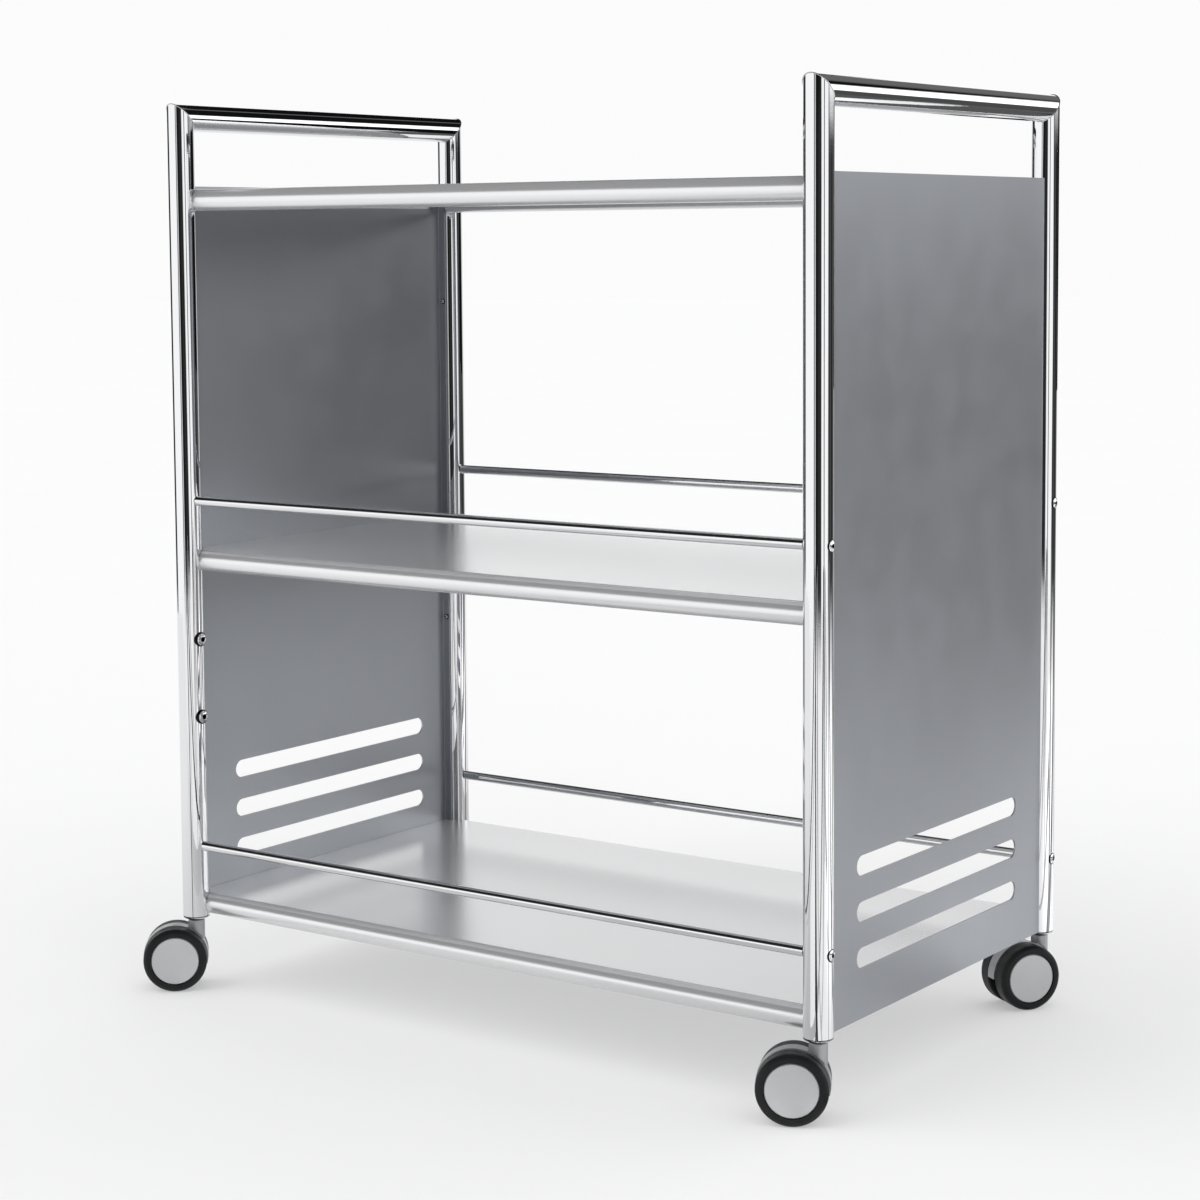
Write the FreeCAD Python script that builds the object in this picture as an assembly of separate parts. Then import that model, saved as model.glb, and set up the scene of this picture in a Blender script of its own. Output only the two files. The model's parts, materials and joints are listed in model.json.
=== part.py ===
import FreeCAD, Part
import os
import math
from FreeCAD import Vector as V

os.makedirs("parts", exist_ok=True)

# ---------------------------------------------------------------- dimensions
# Serving trolley on four twin-wheel castors.  Millimetres, +Z up, origin on
# the floor under the middle of the trolley, front long side towards -Y.
AXIS_W = 690.0          # leg axis to leg axis, left to right
AXIS_D = 400.0          # leg axis to leg axis, front to rear
TOP_Z = 838.0           # top of the handle tubes
TUBE_R = 12.5           # leg and handle tube, 25 mm outside diameter
TUBE_WALL = 1.5
LEG_Z0 = 69.5           # lower cut end of the leg tube
PLUG_LIP_Z = 67.0       # underside of the rounded plug lip
PLUG_TOP_Z = 104.0      # top of the plug body inside the tube
WELD_R = 0.5            # bead along each mitred corner

SHELF_TOPS = {"shelf_top": 759.2, "shelf_middle": 420.5, "shelf_bottom": 90.4}
ROLL_R = 10.0           # rolled long edges of a shelf
ROLL_Y = 190.0          # roll centre line, front and rear
SHEET_T = 1.2
ROLL_END_X = 337.6      # rolls run under the legs' inner sides and are coped
FLANGE_H = 16.0         # turned-down short ends of a shelf
FLANGE_HALF_Y = 168.0

RAIL_R = 4.5
RAIL_Z = {"upper": 467.5, "lower": 137.5}
RAIL_HEAD_R = 5.3

PANEL_OUT = 6.2         # panel outer face, measured outwards from the leg axis
PANEL_T = 1.5
PANEL_Z0 = 70.4
PANEL_Z1 = 762.4
PANEL_EDGE = 12.7       # panel edge, from the leg axis plane towards the middle
PANEL_LIP = 9.4         # width of the narrow return along each upright edge
SLOT_Z = (198.3, 159.8, 121.3)
SLOT_H = 17.0
SLOT_LEN = 286.0
SLOT_SHIFT = 6.0        # slots sit slightly off the middle of the panel
PANEL_SCREW_Z = (646.0, 310.0)

ACCESSORY_Z = (336.0, 262.0)
ACCESSORY_HEAD_R = 6.8

CASTOR_HEADING = {"fl": 221.6, "fr": 207.2, "rr": 235.8, "rl": 214.0}
WHEEL_R = 30.0
WHEEL_W = 16.0          # width of one wheel
WHEEL_PITCH = 28.0      # middle of one wheel to middle of its twin
TRAIL = 20.0            # swivel axis to axle
CAP_R = 22.5
HOOD_W = 11.0
HOOD_R = 30.6
CUP_R = 7.8
CUP_TOP_Z = 65.3
AXLE_R = 3.0
STEM_R = 4.0
RUN = 0.06              # radial running clearance of pins in their bores

HX = AXIS_W / 2.0
HY = AXIS_D / 2.0
CZ = TOP_Z - TUBE_R     # height of the handle axis

X = V(1, 0, 0)
Y = V(0, 1, 0)
Z = V(0, 0, 1)


def cyl(r, h, p, d):
    return Part.makeCylinder(r, h, p, d)


def box(x0, x1, y0, y1, z0, z1):
    return Part.makeBox(x1 - x0, y1 - y0, z1 - z0, V(x0, y0, z0))


def fuse(parts):
    s = parts[0]
    if len(parts) > 1:
        s = s.multiFuse(parts[1:])
    return s.removeSplitter()


def one(s):
    """Return the single solid held in a boolean result."""
    if s.ShapeType == "Solid":
        return s
    sol = s.Solids
    sol.sort(key=lambda q: -q.Volume)
    return sol[0]


def save(name, shape):
    if shape.ShapeType != "Compound" and len(shape.Solids) == 1:
        shape = shape.Solids[0]
    assert shape.isValid(), name
    assert all(q.Volume > 0 for q in shape.Solids), name
    shape.exportStep("parts/%s.step" % name)
    bb = shape.BoundBox
    print("%-22s solids %2d  vol %10.1f  x %.1f..%.1f y %.1f..%.1f z %.1f..%.1f" % (
        name, len(shape.Solids), shape.Volume, bb.XMin, bb.XMax, bb.YMin, bb.YMax, bb.ZMin, bb.ZMax))


def group(name, solids):
    for q in solids:
        assert q.isValid(), name
    save(name, Part.makeCompound(solids))


def prism(pts, vec):
    """Extrude the polygon pts along vec."""
    w = Part.makePolygon([V(*p) for p in pts] + [V(*pts[0])])
    return Part.Face(w).extrude(vec)


def ring_edges(shape, test):
    return [e for e in shape.Edges if test(e)]


LEGS = {"front_left": (-1, -1), "front_right": (1, -1),
        "rear_left": (-1, 1), "rear_right": (1, 1)}


# ---------------------------------------------------------------- socket tools
def hex_prism(af, depth, p, d, ref):
    """Hexagonal prism, af across flats, from p along d."""
    u = ref.normalize() if ref.Length else ref
    v = d.cross(u)
    r = af / math.sqrt(3.0)
    pts = []
    for i in range(7):
        a = math.radians(60.0 * i + 30.0)
        pts.append(p + u * (r * math.cos(a)) + v * (r * math.sin(a)))
    return Part.Face(Part.makePolygon(pts)).extrude(d * depth)


def turn_to(shape, p, d):
    """Move a shape drawn on +Z at the origin so that it stands on p along d."""
    rot = FreeCAD.Rotation(V(0, 0, 1), d)
    q = shape.copy()
    q.Placement = FreeCAD.Placement(p, rot)
    return q


def button_screw(p, d, head_r, head_h, shank_r, shank_l, af, skirt=0.0):
    """Button-head socket screw: p is the seat centre, d points outwards."""
    rim = head_h * 0.35
    mid = V(head_r * 0.72, 0, rim + (head_h - rim) * 0.66)
    pts = [V(0, 0, -shank_l), V(shank_r, 0, -shank_l), V(shank_r, 0, -skirt), V(head_r, 0, -skirt), V(head_r, 0, rim)]
    edges = [Part.makeLine(pts[i], pts[i + 1]) for i in range(4)]
    edges.append(Part.Arc(V(head_r, 0, rim), mid, V(head_r * 0.36, 0, head_h)).toShape())
    edges.append(Part.makeLine(V(head_r * 0.36, 0, head_h), V(0, 0, head_h)))
    edges.append(Part.makeLine(V(0, 0, head_h), V(0, 0, -shank_l)))
    body = one(Part.Face(Part.Wire(edges)).revolve(V(0, 0, 0), Z, 360))
    sock = hex_prism(af, head_h, V(0, 0, head_h * 0.22), V(0, 0, 1), V(1, 0, 0))
    return one(turn_to(one(body.cut(sock)), p, d))


# ---------------------------------------------------------------- leg tubes
def half_space(sy, keep_leg):
    """Block on the leg side of the mitred corner plane."""
    big = 60.0
    yc, zc = sy * HY, CZ
    # outward in y is sy, the leg hangs towards -Z, the handle runs to -sy
    a = (0.0, yc + sy * big, zc + big)
    b = (0.0, yc - sy * big, zc - big)
    if keep_leg:
        c = (0.0, yc + sy * big, zc - 900.0)
        e = (0.0, yc - sy * big, zc - 900.0)
        pts = [a, b, e, c]
    else:
        c = (0.0, yc - sy * 500.0, zc - big)
        e = (0.0, yc - sy * 500.0, zc + big)
        pts = [a, b, c, e]
    return pts


def mitre_block(sx, sy, keep_leg):
    pts = half_space(sy, keep_leg)
    x0 = sx * HX - 40.0
    pts = [(x0, q[1], q[2]) for q in pts]
    return prism(pts, V(80, 0, 0))


def leg(sx, sy):
    x, y = sx * HX, sy * HY
    t = cyl(TUBE_R, TOP_Z + 5 - LEG_Z0, V(x, y, LEG_Z0), Z)
    t = t.cut(cyl(TUBE_R - TUBE_WALL, TOP_Z + 15 - LEG_Z0, V(x, y, LEG_Z0 - 5), Z))
    t = t.common(mitre_block(sx, sy, True))
    # gallery rail screws pass straight through, along X
    for z in RAIL_Z.values():
        t = t.cut(cyl(2.6, 40, V(x - 20, y, z), X))
        t = t.cut(cyl(RAIL_HEAD_R + 0.1, 6.0, V(x + sx * (TUBE_R - 1.3), y, z), V(sx, 0, 0)))
    # side panel screws come in from the middle of the end frame, along Y
    for z in PANEL_SCREW_Z:
        t = t.cut(cyl(2.1, 8.0, V(x, y - sy * (TUBE_R + 2.0), z), V(0, sy, 0)))
    if sx < 0 and sy < 0:
        for z in ACCESSORY_Z:
            t = t.cut(cyl(3.1, 8.0, V(x - sx * (TUBE_R + 2.0), y, z), V(sx, 0, 0)))
    return one(t)


def handle(sx):
    x = sx * HX
    t = cyl(TUBE_R, AXIS_D + 60, V(x, -HY - 30, CZ), Y)
    t = t.cut(cyl(TUBE_R - TUBE_WALL, AXIS_D + 80, V(x, -HY - 40, CZ), Y))
    t = t.common(mitre_block(sx, -1, False))
    t = t.common(mitre_block(sx, 1, False))
    return one(t)


for n, (sx, sy) in LEGS.items():
    save("leg_" + n, leg(sx, sy))
save("handle_left", handle(-1))
save("handle_right", handle(1))

# weld bead round every mitred corner
beads = []
for n, (sx, sy) in LEGS.items():
    c = V(sx * HX, sy * HY, CZ)
    major = V(0, sy, 1).normalize()
    nrm = major.cross(X)
    el = Part.Ellipse(c + major * (TUBE_R * math.sqrt(2.0)), c + X * TUBE_R, c)
    path = Part.Wire([el.toShape()])
    start = path.Edges[0].valueAt(path.Edges[0].FirstParameter)
    tan = path.Edges[0].tangentAt(path.Edges[0].FirstParameter)
    prof = Part.Wire([Part.makeCircle(WELD_R, start, tan)])
    pipe = path.makePipeShell([prof], True, True)
    pipe = one(pipe) if pipe.Solids else Part.Solid(pipe)
    bead = pipe.cut(cyl(TUBE_R, 200, V(c.x, c.y, CZ - 150), Z).common(mitre_block(sx, sy, True)))
    bead = bead.cut(cyl(TUBE_R, AXIS_D + 60, V(c.x, -HY - 30, CZ), Y).common(mitre_block(sx, sy, False)))
    beads += [q for q in bead.Solids if q.Volume > 1.0]
group("corner_welds", beads)

# ---------------------------------------------------------------- leg plugs
plugs, washers = [], []
for n, (sx, sy) in LEGS.items():
    x, y = sx * HX, sy * HY
    lip = cyl(TUBE_R, LEG_Z0 - PLUG_LIP_Z, V(x, y, PLUG_LIP_Z), Z)
    low = ring_edges(lip, lambda e: abs(e.BoundBox.ZMax - PLUG_LIP_Z) < 1e-6 and e.BoundBox.ZMin > PLUG_LIP_Z - 1e-6 and e.BoundBox.XLength > 5)
    lip = lip.makeFillet(1.9, low)
    body = cyl(TUBE_R - TUBE_WALL, PLUG_TOP_Z - LEG_Z0, V(x, y, LEG_Z0), Z)
    p = fuse([lip, body])
    p = p.cut(cyl(STEM_R + RUN, PLUG_TOP_Z - PLUG_LIP_Z - 4.0, V(x, y, PLUG_LIP_Z - 1.0), Z))
    plugs.append(one(p))
    w = cyl(7.2, PLUG_LIP_Z - CUP_TOP_Z - 0.5, V(x, y, CUP_TOP_Z + 0.5), Z)
    w = w.cut(cyl(STEM_R + RUN, 10, V(x, y, CUP_TOP_Z - 3), Z))
    washers.append(one(w))
group("leg_plugs", plugs)
group("swivel_washers", washers)

# ---------------------------------------------------------------- shelves
PANEL_IN = PANEL_OUT - PANEL_T                  # inner face of the side panel
SHELF_X = HX + PANEL_IN - 0.3                   # short end of a shelf


def shelf(zt):
    zc = zt - ROLL_R
    parts = [box(-SHELF_X, SHELF_X, -ROLL_Y, ROLL_Y, zt - SHEET_T, zt)]
    for s in (-1, 1):
        # turned-down short end that carries the shelf on the side panel
        f = box(s * SHELF_X - (SHEET_T if s > 0 else 0), s * SHELF_X + (0 if s > 0 else SHEET_T),
                -FLANGE_HALF_Y, FLANGE_HALF_Y, zt - FLANGE_H, zt - SHEET_T * 0.5)
        parts.append(f)
    s = fuse(parts)
    for sy in (-1, 1):
        outer = cyl(ROLL_R, 2 * ROLL_END_X, V(-ROLL_END_X, sy * ROLL_Y, zc), X)
        inner = cyl(ROLL_R - SHEET_T, 2 * ROLL_END_X + 20, V(-ROLL_END_X - 10, sy * ROLL_Y, zc), X)
        s = s.fuse(outer).cut(inner)
    for sx in (-1, 1):
        for sy in (-1, 1):
            s = s.cut(cyl(TUBE_R + 0.15, 60, V(sx * HX, sy * HY, zt - 40), Z))
            # clear the panel's return lip beside each leg
            s = s.cut(box(min(sx * (HX - 5.0), sx * (HX + 10)), max(sx * (HX - 5.0), sx * (HX + 10)),
                          min(sy * (HY - 16.0), sy * (HY + 1)), max(sy * (HY - 16.0), sy * (HY + 1)), zt - 40, zt + 1))
        # holes for the studs of the side panel
        for y in (-110.0, 110.0):
            s = s.cut(cyl(2.7, 12, V(sx * SHELF_X - 6, y, zt - 9.0), X))
    return one(s.removeSplitter())


for n, zt in SHELF_TOPS.items():
    save(n, shelf(zt))

# ---------------------------------------------------------------- gallery rails
for lv, z in RAIL_Z.items():
    for nm, sy in (("front", -1), ("rear", 1)):
        L = HX - TUBE_R - 0.05
        r = cyl(RAIL_R, 2 * L, V(-L, sy * HY, z), X)
        for sx in (-1, 1):
            # tapped ends
            r = r.cut(cyl(2.45, 14.0, V(sx * L, sy * HY, z), V(-sx, 0, 0)))
        save("rail_%s_%s" % (lv, nm), one(r))

screws = []
for z in RAIL_Z.values():
    for n, (sx, sy) in LEGS.items():
        d = V(sx, 0, 0)
        seat = V(sx * (HX + TUBE_R - 0.9), sy * HY, z)
        screws.append(button_screw(seat, d, RAIL_HEAD_R, 2.0, 2.4, 2 * TUBE_R + 10.0 - 0.9, 3.4, skirt=0.4))
group("rail_screws", screws)


# ---------------------------------------------------------------- side panels
def panel(sx):
    """Flat sheet between the legs with a narrow return along both uprights."""
    e = HY - PANEL_EDGE
    xo = HX + PANEL_OUT
    xi = xo - PANEL_T
    xl = xo - PANEL_LIP
    b = box(xl, xo, -e, e, PANEL_Z0, PANEL_Z1)
    b = b.makeFillet(2.2, [q for q in b.Edges
                           if q.BoundBox.ZLength > 100 and abs(q.BoundBox.XMin - xo) < 1e-3])
    c = box(xl - 5, xi, -e + PANEL_T, e - PANEL_T, PANEL_Z0 - 5, PANEL_Z1 + 5)
    c = c.makeFillet(0.7, [q for q in c.Edges
                           if q.BoundBox.ZLength > 100 and abs(q.BoundBox.XMin - xi) < 1e-3])
    b = b.cut(c)
    # three round-ended slots near the lower edge
    for z in SLOT_Z:
        r = SLOT_H / 2.0
        hl = SLOT_LEN / 2.0 - r
        y0 = -SLOT_SHIFT
        b = b.cut(box(xi - 3, xo + 3, y0 - hl, y0 + hl, z - r, z + r))
        for s in (-1, 1):
            b = b.cut(cyl(r, PANEL_T + 6, V(xi - 3, y0 + s * hl, z), X))
    # holes in the returns for the fixing screws
    for z in PANEL_SCREW_Z:
        for s in (-1, 1):
            b = b.cut(cyl(2.1, 8.0, V(HX, s * (e - 4.0), z), V(0, s, 0)))
    b = one(b)
    if sx < 0:
        # the same part turned half a turn about the upright axis
        b.rotate(V(0, 0, 0), Z, 180)
    return b


save("side_panel_right", panel(1))
save("side_panel_left", panel(-1))

ps = []
for z in PANEL_SCREW_Z:
    for n, (sx, sy) in LEGS.items():
        seat = V(sx * HX, sy * (HY - PANEL_EDGE - PANEL_T), z)
        ps.append(button_screw(seat, V(0, -sy, 0), 2.9, 1.7, 2.0, PANEL_T + 5.0, 2.0))
group("panel_screws", ps)

# studs welded to the panels, with their nuts inside the shelf ends
nuts = []
for zt in SHELF_TOPS.values():
    for sx in (-1, 1):
        for y in (-110.0, 110.0):
            z = zt - 9.0
            d = V(-sx, 0, 0)
            p0 = V(sx * (HX + PANEL_IN), y, z)
            stud = cyl(2.5, 8.0, p0, d)
            nut = hex_prism(8.0, 3.6, p0 + d * (0.3 + SHEET_T), d, V(0, 0, 1))
            nuts.append(one(fuse([stud, nut])))
group("shelf_nuts", nuts)

# only the front left leg carries these, on the side that faces inwards
acc = []
for z in ACCESSORY_Z:
    seat = V(-(HX - TUBE_R + 0.15), -HY, z)
    # a skirt long enough to be hollowed where the round tube falls away
    acc.append(button_screw(seat, X, ACCESSORY_HEAD_R, 3.2, 3.0, 8.0, 4.0, skirt=1.4))
# the heads are hollowed to sit on the round tube
acc2 = []
for q in acc:
    c = q.BoundBox.Center
    tube = cyl(TUBE_R, 60, V(-HX, -HY, c.z - 30), Z).cut(cyl(3.1, 60, V(-HX - 30, -HY, c.z), X))
    acc2.append(one(q.cut(tube)))
group("accessory_screws", acc2)


# ---------------------------------------------------------------- castors
# Built with the swivel axis on Z at the origin and the axle trailing along +X,
# then turned to its heading and moved under its leg.
A = V(TRAIL, 0, WHEEL_R)          # axle centre


def castor_housing():
    w = HOOD_W / 2.0
    cup = cyl(CUP_R, CUP_TOP_Z - 30.0, V(0, 0, 30.0), Z)
    cup = cup.makeFillet(1.0, ring_edges(cup, lambda e: e.BoundBox.ZMin > CUP_TOP_Z - 1e-6 and e.BoundBox.XLength > 5))
    # keep the cup clear of both wheels
    wheels = cyl(WHEEL_R + 2.0, 40, V(TRAIL, w, WHEEL_R), Y).fuse(cyl(WHEEL_R + 2.0, 40, V(TRAIL, -w, WHEEL_R), -Y))
    cup = cup.cut(wheels)
    cup = cup.cut(box(-20, 20, -20, 20, 20, 47.0).cut(cyl(HOOD_R, HOOD_W, V(TRAIL, -w, WHEEL_R), Y)))
    # curved hood over the wheel gap, from the front of the cup to axle height
    shell = cyl(HOOD_R, HOOD_W, V(TRAIL, -w, WHEEL_R), Y)
    web = cyl(HOOD_R - 0.5, 4.6, V(TRAIL, -2.3, WHEEL_R), Y)
    boss = cyl(8.0, HOOD_W, V(TRAIL, -w, WHEEL_R), Y)
    shell = shell.cut(cyl(HOOD_R - 2.6, HOOD_W + 2, V(TRAIL, -w - 1, WHEEL_R), Y))
    upper = prism([(TRAIL - 40, -20, WHEEL_R - 9), (TRAIL, -20, WHEEL_R - 4), (TRAIL + 40, -20, WHEEL_R - 1),
                   (TRAIL + 40, -20, 80), (TRAIL - 40, -20, 80)], V(0, 40, 0))
    shell = shell.common(upper)
    web = web.common(upper)
    core = box(-CUP_R, 6.0, -w, w, 40, 58).common(cyl(HOOD_R, HOOD_W, V(TRAIL, -w, WHEEL_R), Y))
    h = fuse([cup, shell, web, boss, core])
    h = h.cut(cyl(AXLE_R, 60, V(TRAIL, -30, WHEEL_R), Y))
    h = h.cut(cyl(STEM_R, 30, V(0, 0, 50.0), Z))
    return one(h)


def castor_stem():
    s = cyl(STEM_R, 97.0 - 50.0, V(0, 0, 50.0), Z)
    top = ring_edges(s, lambda e: e.BoundBox.ZMin > 96.9 and e.BoundBox.XLength > 3)
    return one(s.makeChamfer(0.8, top))


AXLE_HALF = WHEEL_PITCH / 2.0 + 2.0


def castor_axle():
    a = cyl(AXLE_R, 2 * AXLE_HALF, V(TRAIL, -AXLE_HALF, WHEEL_R), Y)
    ends = ring_edges(a, lambda e: e.BoundBox.YLength < 1e-6 and e.BoundBox.XLength > 3)
    return one(a.makeChamfer(0.5, ends))


def wheel(side):
    """Tyre, hub and cover disc of the wheel on +Y (side 1) or -Y (side -1)."""
    y_in = WHEEL_PITCH / 2.0 - WHEEL_W / 2.0
    y_out = WHEEL_PITCH / 2.0 + WHEEL_W / 2.0

    def turned(pts):
        w = Part.makePolygon([V(TRAIL + r, y, WHEEL_R) for r, y in pts] + [V(TRAIL + pts[0][0], pts[0][1], WHEEL_R)])
        return one(Part.Face(w).revolve(V(TRAIL, 0, WHEEL_R), Y, 360))

    seat = CAP_R + 0.55
    # tyre: flat tread, generous outer shoulder, flat face round the disc
    tyre = cyl(WHEEL_R, WHEEL_W, V(TRAIL, y_in, WHEEL_R), Y)
    oe = ring_edges(tyre, lambda e: abs(e.BoundBox.YMin - y_out) < 1e-6 and e.BoundBox.XLength > 5)
    tyre = tyre.makeFillet(4.2, oe)
    ie = ring_edges(tyre, lambda e: abs(e.BoundBox.YMax - y_in) < 1e-6 and e.BoundBox.XLength > 5)
    tyre = tyre.makeFillet(1.6, ie)
    tyre = tyre.cut(cyl(seat, WHEEL_W + 2, V(TRAIL, y_in - 1, WHEEL_R), Y))
    # hub: dished plastic core with a blind bore for the axle
    hub = turned([(AXLE_R + RUN, y_in + 0.6), (9.0, y_in + 0.6), (9.0, y_in + 5.0), (19.0, y_in + 5.0),
                  (19.0, y_in + 0.8), (seat, y_in + 0.8), (seat, y_out - 3.2), (0.0, y_out - 3.2),
                  (0.0, y_out - 5.6), (AXLE_R + RUN, y_out - 5.6)])
    cap = cyl(CAP_R, 2.6, V(TRAIL, y_out - 3.2, WHEEL_R), Y)
    ce = ring_edges(cap, lambda e: abs(e.BoundBox.YMin - (y_out - 0.6)) < 1e-6 and e.BoundBox.XLength > 5)
    cap = cap.makeChamfer(0.8, ce)
    out = []
    for q in (tyre, hub, cap):
        q = one(q)
        if side < 0:
            q = one(q.mirror(V(0, 0, 0), V(0, 1, 0)))
        out.append(q)
    return out


base = {"housing": castor_housing(), "stem": castor_stem(), "axle": castor_axle()}
for nm, side in (("a", 1), ("b", -1)):
    t, h, c = wheel(side)
    base["tyre_" + nm] = t
    base["hub_" + nm] = h
    base["disc_" + nm] = c

PLACE = {"fl": (-1, -1), "fr": (1, -1), "rr": (1, 1), "rl": (-1, 1)}
for cn, (sx, sy) in PLACE.items():
    for pn, s in base.items():
        q = s.copy()
        q.rotate(V(0, 0, 0), Z, CASTOR_HEADING[cn])
        q.translate(V(sx * HX, sy * HY, 0))
        save("castor_%s_%s" % (cn, pn), one(q))
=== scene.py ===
import json
import math

import bpy
from mathutils import Matrix, Vector

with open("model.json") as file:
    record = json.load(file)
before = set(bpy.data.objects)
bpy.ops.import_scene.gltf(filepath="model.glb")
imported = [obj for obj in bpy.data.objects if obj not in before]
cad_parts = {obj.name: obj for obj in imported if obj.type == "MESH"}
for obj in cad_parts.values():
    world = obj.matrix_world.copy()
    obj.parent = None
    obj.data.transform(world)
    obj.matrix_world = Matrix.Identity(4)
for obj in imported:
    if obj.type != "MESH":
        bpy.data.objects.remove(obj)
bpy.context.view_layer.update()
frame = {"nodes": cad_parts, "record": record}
NODES = frame["nodes"]


# ------------------------------------------------------------------ node helpers
class Tree:
    """Short-hand for building one node tree."""

    def __init__(self, tree):
        self.t = tree

    def new(self, kind, **values):
        n = self.t.nodes.new(kind)
        for k, v in values.items():
            if k.startswith("in_"):
                key = k[3:]
                n.inputs[int(key) if key.isdigit() else key.replace("_", " ")].default_value = v
            else:
                setattr(n, k, v)
        return n

    def link(self, a, b):
        self.t.links.new(a, b)

    def math(self, op, a, b=None, c=None, clamp=False):
        n = self.new("ShaderNodeMath", operation=op, use_clamp=clamp)
        for i, v in enumerate((a, b, c)):
            if v is None:
                continue
            if isinstance(v, (int, float)):
                n.inputs[i].default_value = v
            else:
                self.link(v, n.inputs[i])
        return n.outputs[0]

    def ramp(self, fac, stops, mode="LINEAR"):
        n = self.new("ShaderNodeValToRGB")
        n.color_ramp.interpolation = mode
        e = n.color_ramp.elements
        while len(e) > 1:
            e.remove(e[-1])
        for i, (p, c) in enumerate(stops):
            col = (c, c, c, 1) if isinstance(c, (int, float)) else (*c, 1)
            if i == 0:
                e[0].position, e[0].color = p, col
            else:
                q = e.new(p)
                q.color = col
        if fac is not None:
            self.link(fac, n.inputs[0])
        return n.outputs[0]

    def smooth(self, v, a, b, lo=0.0, hi=1.0):
        n = self.new("ShaderNodeMapRange", interpolation_type="SMOOTHSTEP")
        n.inputs["From Min"].default_value = a
        n.inputs["From Max"].default_value = b
        n.inputs["To Min"].default_value = lo
        n.inputs["To Max"].default_value = hi
        self.link(v, n.inputs["Value"])
        return n.outputs["Result"]

    def mix(self, fac, a, b):
        n = self.new("ShaderNodeMix", data_type="RGBA")
        for s, v in ((n.inputs[0], fac), (n.inputs[6], a), (n.inputs[7], b)):
            if isinstance(v, (int, float)):
                s.default_value = v if s.type == "VALUE" else (v, v, v, 1)
            elif isinstance(v, tuple):
                s.default_value = (*v, 1)
            else:
                self.link(v, s)
        return n.outputs[2]

    def noise(self, coord, scale, detail=3.0, rough=0.5, stretch=None, distortion=0.0):
        n = self.new("ShaderNodeTexNoise")
        n.inputs["Scale"].default_value = scale
        n.inputs["Detail"].default_value = detail
        n.inputs["Roughness"].default_value = rough
        n.inputs["Distortion"].default_value = distortion
        if stretch:
            m = self.new("ShaderNodeMapping")
            m.inputs["Scale"].default_value = stretch
            self.link(coord, m.inputs[0])
            coord = m.outputs[0]
        self.link(coord, n.inputs["Vector"])
        return n.outputs["Fac"]

    def voronoi(self, coord, scale, out="Distance", feature="F1"):
        n = self.new("ShaderNodeTexVoronoi", feature=feature)
        n.inputs["Scale"].default_value = scale
        self.link(coord, n.inputs["Vector"])
        return n.outputs[out]

    def bump(self, height, strength, distance, normal=None):
        n = self.new("ShaderNodeBump")
        n.inputs["Strength"].default_value = strength
        n.inputs["Distance"].default_value = distance
        self.link(height, n.inputs["Height"])
        if normal is not None:
            self.link(normal, n.inputs["Normal"])
        return n.outputs[0]


def material(name, metallic, **uniform):
    m = bpy.data.materials.new(name)
    m.use_nodes = True
    m.node_tree.nodes.clear()
    t = Tree(m.node_tree)
    out = t.new("ShaderNodeOutputMaterial")
    b = t.new("ShaderNodeBsdfPrincipled")
    t.link(b.outputs[0], out.inputs[0])
    b.inputs["Metallic"].default_value = metallic
    for k, v in uniform.items():
        b.inputs[k.replace("_", " ")].default_value = v
    coord = t.new("ShaderNodeTexCoord").outputs["Object"]
    return m, t, b, coord


# ------------------------------------------------------------------ materials
def chrome(name, base=(0.88, 0.885, 0.90), rough=(0.012, 0.035), wave=0.055, specks=True, ripple=0.0, gap_shade_band=None):
    m, t, b, c = material(name, 1.0)
    # faint tint drift of the plating and polishing haze
    drift = t.noise(c, 7.0, 3.0)
    lo = tuple(v * 0.965 for v in base)
    col = t.mix(drift, lo, base)
    if gap_shade_band:
        # painted shade: a near-black band stands in for the shadow in the gap where the plug meets the end of the tube
        xyz = t.new("ShaderNodeSeparateXYZ")
        t.link(c, xyz.inputs[0])
        z = xyz.outputs[2]
        gap_shade_mask = t.math("MULTIPLY", t.math("GREATER_THAN", z, gap_shade_band[0]), t.math("LESS_THAN", z, gap_shade_band[1]))
        col = t.mix(gap_shade_mask, col, (0.035, 0.035, 0.038))
    t.link(col, b.inputs["Base Color"])
    haze = t.noise(c, 22.0, 5.0, 0.62)
    r = t.smooth(haze, 0.38, 0.72, rough[0], rough[1])
    if specks:
        pit = t.voronoi(c, 165.0)
        thin = t.smooth(t.noise(c, 38.0, 2.0), 0.60, 0.68)
        dot = t.math("MULTIPLY", t.smooth(pit, 0.10, 0.05), thin)
        r = t.math("ADD", r, t.math("MULTIPLY", dot, 0.28), clamp=True)
    t.link(r, b.inputs["Roughness"])
    # the drawn tube is never quite flat: long shallow waves, then a very fine polish
    w = t.noise(c, 26.0, 2.0, 0.45)
    n = t.bump(w, wave, 0.0012)
    fine = t.noise(c, 900.0, 2.0, 0.5)
    n = t.bump(fine, 0.012, 0.0004, n)
    if ripple:
        # solidified ripples of a weld run
        rp = t.noise(c, 420.0, 3.0, 0.6)
        n = t.bump(rp, ripple, 0.0006, n)
    t.link(n, b.inputs["Normal"])
    return m


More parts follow.
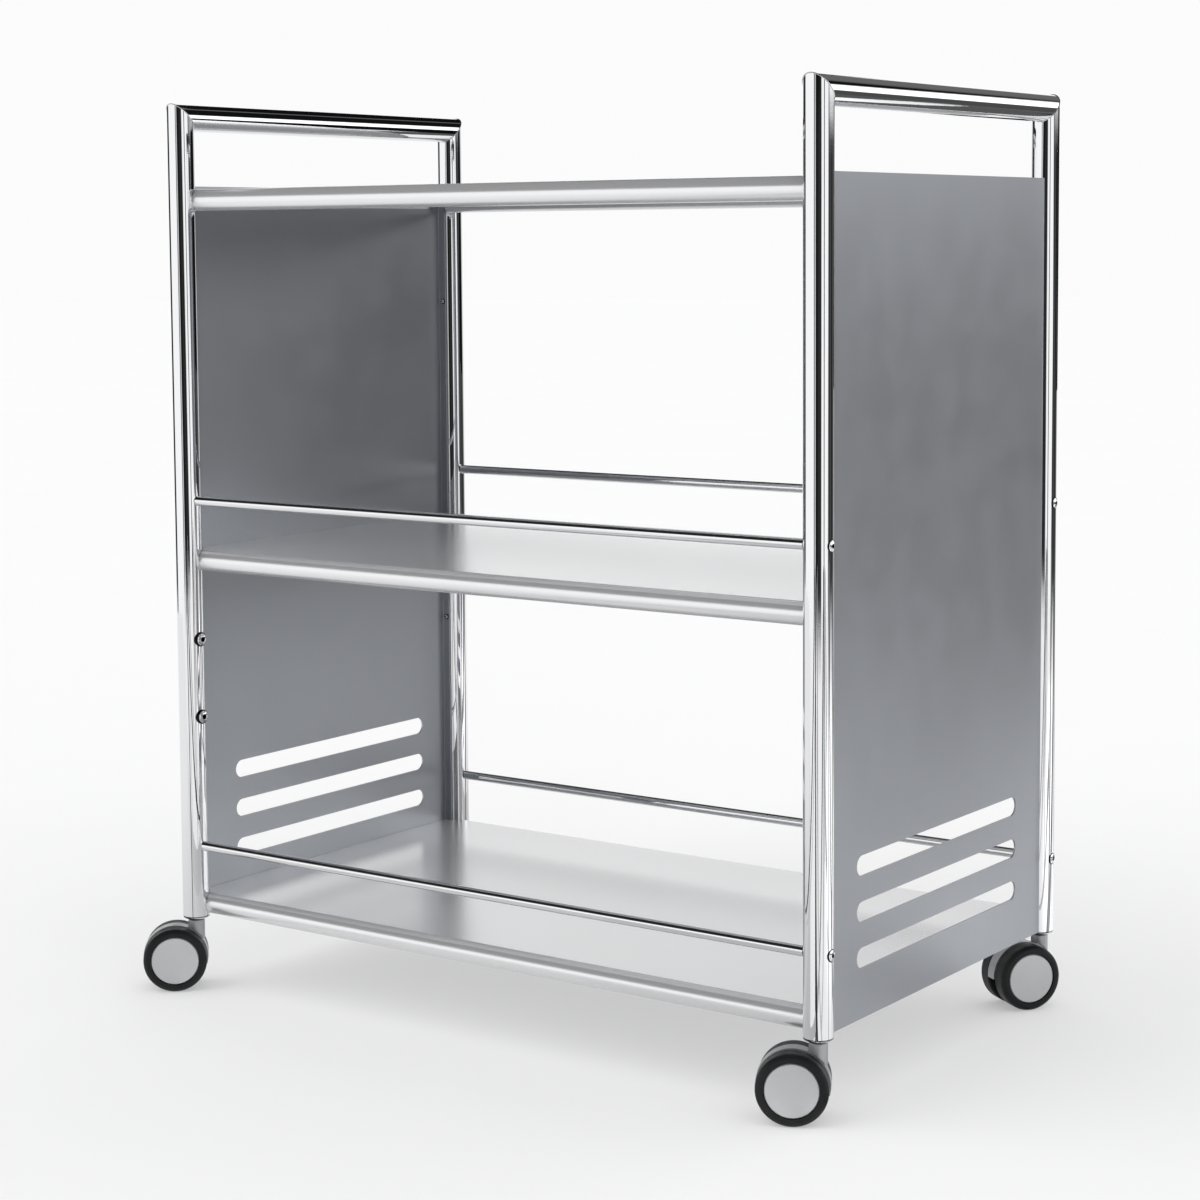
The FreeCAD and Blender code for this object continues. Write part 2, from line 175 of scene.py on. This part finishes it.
def powder(name, base, metallic, rough, peel=0.10, flake=0.05, grain_scale=1500.0, coat=0.0, coat_rough=0.2, drift_amt=0.04):
    """Powder coat or lacquer: orange peel, fine grain, faint cloudiness, metallic flake."""
    m, t, b, c = material(name, metallic, Coat_Weight=coat, Coat_Roughness=coat_rough)
    cloud = t.noise(c, 5.0, 4.0, 0.55)
    lo = tuple(v * (1.0 - drift_amt) for v in base)
    hi = tuple(min(1.0, v * (1.0 + drift_amt)) for v in base)
    col = t.mix(cloud, lo, hi)
    fl = t.voronoi(c, 1500.0, "Color")
    sep = t.new("ShaderNodeSeparateColor")
    t.link(fl, sep.inputs[0])
    spark = t.smooth(sep.outputs[0], 0.2, 1.0, 0.0, flake)
    bright = tuple(min(1.0, v * 1.5 + 0.05) for v in base)
    col = t.mix(spark, col, bright)
    t.link(col, b.inputs["Base Color"])
    rv = t.noise(c, 24.0, 3.0, 0.5)
    t.link(t.smooth(rv, 0.3, 0.7, rough[0], rough[1]), b.inputs["Roughness"])
    pl = t.noise(c, 260.0, 1.0, 0.4)
    n = t.bump(pl, peel, 0.0004)
    gr = t.noise(c, grain_scale, 1.0, 0.5)
    n = t.bump(gr, peel * 0.5, 0.0001, n)
    t.link(n, b.inputs["Normal"])
    return m


def sheet(name, base, metallic, rough, drift_amt=0.012, flake=0.015):
    """Silver lacquer on flat sheet: slow cloudiness, a trace of fine flake and grain in the gloss."""
    m, t, b, c = material(name, metallic)
    cloud = t.noise(c, 2.2, 2.0, 0.45)
    lo = tuple(v * (1.0 - drift_amt) for v in base)
    hi = tuple(min(1.0, v * (1.0 + drift_amt)) for v in base)
    col = t.mix(cloud, lo, hi)
    sep = t.new("ShaderNodeSeparateColor")
    t.link(t.voronoi(c, 1500.0, "Color"), sep.inputs[0])
    col = t.mix(t.smooth(sep.outputs[0], 0.2, 1.0, 0.0, flake), col, tuple(min(1.0, v * 1.25) for v in base))
    t.link(col, b.inputs["Base Color"])
    t.link(t.smooth(t.noise(c, 2.6, 2.0, 0.45), 0.3, 0.7, rough[0], rough[1]), b.inputs["Roughness"])
    return m


def rubber(name):
    m, t, b, c = material(name, 0.0, Specular_IOR_Level=0.32, Sheen_Weight=0.03, Sheen_Roughness=0.45)
    base = t.mix(t.noise(c, 40.0, 4.0, 0.6), (0.0062, 0.0068, 0.0074), (0.0100, 0.0108, 0.0118))
    # pale dust in the fine moulding texture
    dust = t.smooth(t.noise(c, 260.0, 5.0, 0.7), 0.62, 0.85, 0.0, 0.20)
    t.link(t.mix(dust, base, (0.035, 0.035, 0.036)), b.inputs["Base Color"])
    t.link(t.smooth(t.noise(c, 120.0, 4.0, 0.6), 0.3, 0.75, 0.40, 0.56), b.inputs["Roughness"])
    n = t.bump(t.noise(c, 1400.0, 3.0, 0.6), 0.18, 0.0002)
    n = t.bump(t.noise(c, 180.0, 2.0, 0.5), 0.05, 0.0004, n)
    t.link(n, b.inputs["Normal"])
    return m


def plastic(name, lo, hi, metallic, rough, grain=0.12, flake=0.0, coat=0.0, swell=0.04):
    m, t, b, c = material(name, metallic, Coat_Weight=coat, Coat_Roughness=0.25)
    col = t.mix(t.noise(c, 30.0, 4.0, 0.6), lo, hi)
    if flake:
        fl = t.new("ShaderNodeSeparateColor")
        t.link(t.voronoi(c, 5200.0, "Color"), fl.inputs[0])
        col = t.mix(t.smooth(fl.outputs[0], 0.4, 1.0, 0.0, flake), col, tuple(min(1.0, v * 1.6) for v in hi))
    t.link(col, b.inputs["Base Color"])
    t.link(t.smooth(t.noise(c, 90.0, 4.0, 0.6), 0.3, 0.7, rough[0], rough[1]), b.inputs["Roughness"])
    n = t.bump(t.noise(c, 1800.0, 3.0, 0.6), grain, 0.00015)
    n = t.bump(t.noise(c, 120.0, 2.0, 0.5), swell, 0.0004, n)
    t.link(n, b.inputs["Normal"])
    return m


def zinc(name):
    m, t, b, c = material(name, 1.0)
    t.link(t.mix(t.noise(c, 160.0, 4.0, 0.6), (0.44, 0.44, 0.45), (0.62, 0.62, 0.61)), b.inputs["Base Color"])
    t.link(t.smooth(t.noise(c, 300.0, 3.0, 0.6), 0.3, 0.7, 0.22, 0.42), b.inputs["Roughness"])
    t.link(t.bump(t.noise(c, 700.0, 3.0, 0.6), 0.12, 0.0003), b.inputs["Normal"])
    return m


def screw_head(name, base, rough, side, other, z_mid, z_half, hole, rim):
    """Plated socket screw: painted shade darkens the socket and the ring where the head sits.

    side: 0 or 1, the coordinate (x or y) that crosses the screw; other: its distance from
    the middle plane; the screws lie at z_mid plus or minus z_half.
    """
    m, t, b, c = material(name, 1.0)
    xyz = t.new("ShaderNodeSeparateXYZ")
    t.link(c, xyz.inputs[0])
    u = t.math("SUBTRACT", t.math("ABSOLUTE", xyz.outputs[side]), other)
    v = t.math("SUBTRACT", t.math("ABSOLUTE", t.math("SUBTRACT", xyz.outputs[2], z_mid)), z_half)
    r = t.math("SQRT", t.math("ADD", t.math("MULTIPLY", u, u), t.math("MULTIPLY", v, v)))
    # painted shade: near-black colour and higher roughness in the hex socket and in the ring around the head's rim
    socket_rim_shade = t.math("ADD", t.smooth(r, hole, hole + 0.0003, 1.0, 0.0), t.smooth(r, rim - 0.0003, rim), clamp=True)
    col = t.mix(t.noise(c, 160.0, 3.0, 0.6), tuple(q * 0.93 for q in base), base)
    t.link(t.mix(socket_rim_shade, col, (0.012, 0.012, 0.013)), b.inputs["Base Color"])
    gloss = t.smooth(t.noise(c, 300.0, 3.0, 0.6), 0.3, 0.7, rough[0], rough[1])
    t.link(t.math("ADD", gloss, t.math("MULTIPLY", socket_rim_shade, 0.35), clamp=True), b.inputs["Roughness"])
    t.link(t.bump(t.noise(c, 700.0, 2.0, 0.5), 0.05, 0.0002), b.inputs["Normal"])
    return m


MATS = {
    "chrome_tube": chrome("chrome_tube_look"),
    "weld_bead": chrome("weld_bead_look", (0.74, 0.75, 0.77), (0.07, 0.16), 0.05, False, 0.35),
    # the plug look paints shade into the joint gap between 68.7 and 69.6 mm height
    "chrome_plug": chrome("chrome_plug_look", (0.84, 0.845, 0.86), (0.03, 0.07), 0.03, False, gap_shade_band=(0.0687, 0.0696)),
    "chrome_rail": chrome("chrome_rail_look", wave=0.03),
    "screw_chrome": chrome("screw_chrome_look", (0.72, 0.73, 0.75), (0.08, 0.20), 0.03, False),
    "screw_zinc": zinc("screw_zinc_look"),
    "pin_steel": zinc("pin_steel_look"),
    "black_washer": plastic("black_washer_look", (0.010, 0.010, 0.010), (0.018, 0.018, 0.018), 0.0, (0.45, 0.6)),
    "hub_black": plastic("hub_black_look", (0.008, 0.008, 0.009), (0.016, 0.016, 0.017), 0.0, (0.42, 0.58)),
    "tyre_black": rubber("tyre_black_look"),
    "disc_silver": plastic("disc_silver_look", (0.57, 0.578, 0.592), (0.63, 0.638, 0.652), 0.52, (0.32, 0.40), 0.08, 0.10, 0.0, 0.03),
    "castor_silver": plastic("castor_silver_look", (0.38, 0.39, 0.405), (0.45, 0.46, 0.475), 0.68, (0.30, 0.42), 0.12, 0.10, 0.10),
    "shelf_silver": sheet("shelf_silver_look", (0.845, 0.848, 0.858), 0.70, (0.235, 0.25)),
    "panel_grey": powder("panel_grey_look", (0.415, 0.432, 0.462), 0.82, (0.33, 0.37), 0.010, 0.04, 1100.0, 0.0, 0.2, 0.02),
}
BY_NODE = {
    "rail_screws": screw_head("rail_screw_look", (0.82, 0.825, 0.84), (0.10, 0.18), 1, 0.2, 0.3025, 0.165, 0.0017, 0.0047),
    "accessory_screws": screw_head("accessory_screw_look", (0.82, 0.825, 0.84), (0.08, 0.16), 1, 0.2, 0.299, 0.037, 0.0024, 0.0059),
    "panel_screws": screw_head("panel_screw_look", (0.86, 0.86, 0.87), (0.12, 0.22), 0, 0.345, 0.478, 0.168, 0.0009, 0.0023),
}
rec = frame["record"]
slot_of = {s["node"]: s["material_slot"] for s in rec["subparts"]}
for n, o in NODES.items():
    m = BY_NODE.get(n, MATS[slot_of[n]])
    for i in range(len(o.material_slots)):
        o.material_slots[i].material = m

# ------------------------------------------------------------------ stage
bpy.ops.mesh.primitive_circle_add(vertices=96, radius=30.0, fill_type="NGON", location=(0, 0, 0))
floor = bpy.context.object
floor.name = "floor"
fm = bpy.data.materials.new("floor_look")
fm.use_nodes = True
fm.node_tree.nodes.clear()
t = Tree(fm.node_tree)
out = t.new("ShaderNodeOutputMaterial")
fd = t.new("ShaderNodeBsdfDiffuse")
c = t.new("ShaderNodeTexCoord").outputs["Object"]
t.link(t.mix(t.noise(c, 3.0, 3.0), (0.56, 0.559, 0.558), (0.58, 0.579, 0.578)), fd.inputs["Color"])
# the white sweep ends about three metres out, which is what the chrome mirrors
dist = t.new("ShaderNodeVectorMath", operation="LENGTH")
t.link(c, dist.inputs[0])
lp = t.new("ShaderNodeLightPath")
far = t.smooth(dist.outputs["Value"], 2.3, 3.6)
hide = t.math("MULTIPLY", far, lp.outputs["Is Glossy Ray"])
tr = t.new("ShaderNodeBsdfTransparent")
ms = t.new("ShaderNodeMixShader")
t.link(hide, ms.inputs[0])
glow = t.new("ShaderNodeEmission")
glow.inputs[0].default_value = (1.0, 1.0, 1.0, 1)
glow.inputs[1].default_value = 0.34
lit = t.new("ShaderNodeAddShader")
t.link(fd.outputs[0], lit.inputs[0])
t.link(glow.outputs[0], lit.inputs[1])
t.link(lit.outputs[0], ms.inputs[1])
t.link(tr.outputs[0], ms.inputs[2])
t.link(ms.outputs[0], out.inputs[0])
floor.data.materials.append(fm)

# ------------------------------------------------------------------ studio surroundings
# Azimuth 0 is the front (-Y), 90 the right (+X).  Three bands by height: the low
# horizon, the wall above it, and the ceiling.  They are what the chrome mirrors.
world = bpy.data.worlds.new("studio")
bpy.context.scene.world = world
world.use_nodes = True
world.node_tree.nodes.clear()
t = Tree(world.node_tree)
out = t.new("ShaderNodeOutputWorld")
gen = t.new("ShaderNodeTexCoord").outputs["Generated"]
sep = t.new("ShaderNodeSeparateXYZ")
t.link(gen, sep.inputs[0])
neg_y = t.math("MULTIPLY", sep.outputs[1], -1.0)
az = t.math("ARCTAN2", sep.outputs[0], neg_y)
az01 = t.math("ADD", t.math("DIVIDE", az, 2 * math.pi), 0.5)
el = t.math("MULTIPLY", t.math("ARCSINE", sep.outputs[2]), 180.0 / math.pi)


def A(deg):
    return deg / 360.0 + 0.5


low = t.ramp(az01, [(A(-180), 0.80), (A(-118), 0.95), (A(-108), 0.10), (A(-104), 0.02), (A(-77), 0.02), (A(-74), 1.0), (A(-5), 1.0),
                    (A(-3), 0.10), (A(1), 0.10), (A(3), 0.62), (A(8), 0.62), (A(10), 0.004), (A(20), 0.012), (A(36), 0.03), (A(46), 0.004),
                    (A(50), 0.30), (A(53), 1.0), (A(67), 1.0), (A(69), 0.05), (A(73), 0.05), (A(75), 1.0), (A(101), 1.0), (A(106), 0.06),
                    (A(118), 0.03), (A(130), 0.08), (A(133), 0.015), (A(142), 0.015), (A(146), 0.07), (A(165), 0.07), (A(174), 0.45), (A(180), 0.80)])
wall = t.ramp(az01, [(A(-180), 0.85), (A(-150), 1.05), (A(-116), 1.05), (A(-106), 0.06), (A(-79), 0.03), (A(-75), 1.0),
                     (A(-5), 1.0), (A(-3), 0.10), (A(1), 0.10), (A(3), 0.55), (A(8), 0.55), (A(10), 0.006), (A(46), 0.006), (A(52), 1.0), (A(67), 1.0),
                     (A(69), 0.05), (A(73), 0.05), (A(75), 1.0), (A(102), 1.0), (A(107), 0.40), (A(116), 1.3), (A(126), 1.6), (A(160), 1.6), (A(172), 1.0), (A(180), 0.95)])
top = t.ramp(az01, [(A(-180), 0.14), (A(-150), 0.12), (A(-120), 0.04), (A(-60), 0.02), (A(0), 0.012), (A(60), 0.03),
                    (A(130), 0.02), (A(142), 0.006), (A(166), 0.006), (A(171), 0.12), (A(180), 0.14)])
env = t.mix(t.smooth(el, 1.8, 4.2), low, wall)
env = t.mix(t.smooth(el, 18.0, 22.5), env, top)
lp = t.new("ShaderNodeLightPath")
glossy = t.math("MAXIMUM", lp.outputs["Is Glossy Ray"], lp.outputs["Is Singular Ray"])
soft = t.mix(t.smooth(el, -20.0, 60.0), (0.90, 0.90, 0.905), (0.965, 0.968, 0.975))
bg_soft = t.new("ShaderNodeBackground")
t.link(soft, bg_soft.inputs[0])
bg_soft.inputs[1].default_value = 0.86
bg_env = t.new("ShaderNodeBackground")
t.link(env, bg_env.inputs[0])
bg_env.inputs[1].default_value = 1.05
bg_cam = t.new("ShaderNodeBackground")
bg_cam.inputs[0].default_value = (0.97, 0.97, 0.97, 1)
bg_cam.inputs[1].default_value = 1.0
m1 = t.new("ShaderNodeMixShader")
t.link(glossy, m1.inputs[0])
t.link(bg_soft.outputs[0], m1.inputs[1])
t.link(bg_env.outputs[0], m1.inputs[2])
m2 = t.new("ShaderNodeMixShader")
t.link(lp.outputs["Is Camera Ray"], m2.inputs[0])
t.link(m1.outputs[0], m2.inputs[1])
t.link(bg_cam.outputs[0], m2.inputs[2])
t.link(m2.outputs[0], out.inputs[0])


def sun(name, strength, spread, place, aim=(0, 0, 0.4)):
    """A large soft source: an even light without fall-off over the sweep."""
    d = bpy.data.lights.new(name, "SUN")
    d.energy = strength
    d.angle = math.radians(spread)
    o = bpy.data.objects.new(name, d)
    bpy.context.scene.collection.objects.link(o)
    o.rotation_euler = (Vector(aim) - Vector(place)).to_track_quat("-Z", "Y").to_euler()
    o.visible_glossy = False
    return o


sun("key", 0.85, 60, (-1.6, -1.9, 2.6))
sun("fill", 0.40, 60, (2.4, -0.6, 1.6))
sun("back", 0.30, 60, (0.6, 2.4, 2.4))

# Soft-edged dark shapes on the sweep, seen only in the mirror-bright parts.  Each fan
# starts at the foot of a leg: (azimuth, spread, from, to, value near, value far).
STREAKS = ((-84, 108, 0.03, 2.6, 0.50, 0.90), (10, 5.5, 0.03, 3.6, 0.035, 0.02), (22, 3.0, 0.25, 3.6, 0.55, 0.30),
           (66, 4.0, 0.45, 3.6, 0.50, 0.08), (77, 2.5, 0.9, 3.6, 0.55, 0.20), (112, 7.0, 0.03, 3.6, 0.50, 0.18),
           (150, 11.0, 0.03, 3.6, 0.36, 0.10))


def glossy_only(o):
    for flag in ("visible_camera", "visible_diffuse", "visible_shadow", "visible_transmission", "visible_volume_scatter"):
        setattr(o, flag, False)


def streak(name, x, y, z, deg, spread, r0, r1, g0, g1):
    n = max(1, round(spread / 8.0))
    pts, faces = [], []
    for k in range(n + 1):
        q = math.radians(deg + spread * (k / n - 0.5))
        for r in (r0, r1):
            pts.append((r * math.sin(q), -r * math.cos(q), 0.0))
    for k in range(n):
        faces.append((2 * k, 2 * k + 1, 2 * k + 3, 2 * k + 2))
    me = bpy.data.meshes.new(name)
    me.from_pydata(pts, [], faces)
    o = bpy.data.objects.new(name, me)
    o.location = (x, y, z)
    bpy.context.scene.collection.objects.link(o)
    m = bpy.data.materials.new(name + "_look")
    m.use_nodes = True
    m.node_tree.nodes.clear()
    t = Tree(m.node_tree)
    out = t.new("ShaderNodeOutputMaterial")
    em = t.new("ShaderNodeEmission")
    away = t.new("ShaderNodeVectorMath", operation="LENGTH")
    t.link(t.new("ShaderNodeTexCoord").outputs["Object"], away.inputs[0])
    t.link(t.smooth(away.outputs["Value"], r0, min(r1, r0 + 1.8), g0, g1), em.inputs[1])
    t.link(em.outputs[0], out.inputs[0])
    me.materials.append(m)
    glossy_only(o)


for i, (lx, ly) in enumerate(((0.345, -0.2), (-0.345, -0.2), (0.345, 0.2))):
    for k, (deg, spread, r0, r1, g0, g1) in enumerate(STREAKS):
        streak("streak_%d_%d" % (i, k), lx, ly, 0.0006 + 0.0002 * i + (0.0008 if k else 0.0), deg + (0, 3, -2)[i], spread, r0, r1, g0, g1)

# a bright pool of light on the sweep, to the right and behind, that the panels pick up
pool = bpy.data.meshes.new("pool")
pool.from_pydata([(math.cos(q * math.pi / 24), math.sin(q * math.pi / 24), 0.0) for q in range(48)], [], [list(range(48))])
po = bpy.data.objects.new("pool", pool)
po.location = (1.30, 0.65, 0.0004)
po.scale = (1.15, 1.15, 1.0)
bpy.context.scene.collection.objects.link(po)
m = bpy.data.materials.new("pool_look")
m.use_nodes = True
m.node_tree.nodes.clear()
t = Tree(m.node_tree)
out = t.new("ShaderNodeOutputMaterial")
em = t.new("ShaderNodeEmission")
em.inputs[1].default_value = 1.7
tr = t.new("ShaderNodeBsdfTransparent")
ms = t.new("ShaderNodeMixShader")
away = t.new("ShaderNodeVectorMath", operation="LENGTH")
t.link(t.new("ShaderNodeTexCoord").outputs["Object"], away.inputs[0])
t.link(t.smooth(away.outputs["Value"], 0.45, 1.0, 1.0, 0.0), ms.inputs[0])
t.link(tr.outputs[0], ms.inputs[1])
t.link(em.outputs[0], ms.inputs[2])
t.link(ms.outputs[0], out.inputs[0])
pool.materials.append(m)
glossy_only(po)

# dark flags: one behind and above the left handle, one that the upper left panel faces
me = bpy.data.meshes.new("flag")
me.from_pydata([(-1.35, 1.2, 1.24), (-0.25, 1.2, 1.24), (-0.25, 1.2, 2.2), (-1.35, 1.2, 2.2),
                (-0.12, 0.9, 0.53), (0.58, 0.9, 0.53), (0.58, 0.9, 0.87), (-0.12, 0.9, 0.87)], [], [(0, 1, 2, 3), (4, 5, 6, 7)])
flag = bpy.data.objects.new("flag", me)
bpy.context.scene.collection.objects.link(flag)
m = bpy.data.materials.new("flag_look")
m.use_nodes = True
m.node_tree.nodes.clear()
t = Tree(m.node_tree)
out = t.new("ShaderNodeOutputMaterial")
em = t.new("ShaderNodeEmission")
em.inputs[0].default_value = (0.005, 0.005, 0.006, 1)
t.link(em.outputs[0], out.inputs[0])
me.materials.append(m)
glossy_only(flag)

# ------------------------------------------------------------------ camera
AZ, EL, ROLL = 35.513, 4.954, -0.394
FOCAL_PX, SHIFT = 2632.6, -0.11
DIST, SIDE, HEIGHT = 2.4357, -0.0080, 0.7097
a, e, r = (math.radians(v) for v in (AZ, EL, ROLL))
back = Vector((math.sin(a) * math.cos(e), -math.cos(a) * math.cos(e), math.sin(e)))
right = Vector((math.cos(a), math.sin(a), 0))
up = back.cross(right)
rr = right * math.cos(r) + up * math.sin(r)
uu = up * math.cos(r) - right * math.sin(r)
cam_d = bpy.data.cameras.new("camera")
cam = bpy.data.objects.new("camera", cam_d)
bpy.context.scene.collection.objects.link(cam)
place = Vector((math.sin(a), -math.cos(a), 0)) * DIST + right * SIDE + Vector((0, 0, HEIGHT))
cam.matrix_world = Matrix(((rr.x, uu.x, back.x, place.x), (rr.y, uu.y, back.y, place.y),
                           (rr.z, uu.z, back.z, place.z), (0, 0, 0, 1)))
cam_d.sensor_fit = "HORIZONTAL"
cam_d.sensor_width = 36.0
cam_d.lens = FOCAL_PX * 36.0 / 1200.0
cam_d.shift_y = SHIFT
cam_d.clip_start, cam_d.clip_end = 0.05, 100.0
cam_d.dof.use_dof = False
bpy.context.scene.camera = cam
sc = bpy.context.scene
sc.view_settings.view_transform = "Standard"
sc.view_settings.look = "None"
sc.view_settings.exposure = 0.0
sc.view_settings.gamma = 1.0
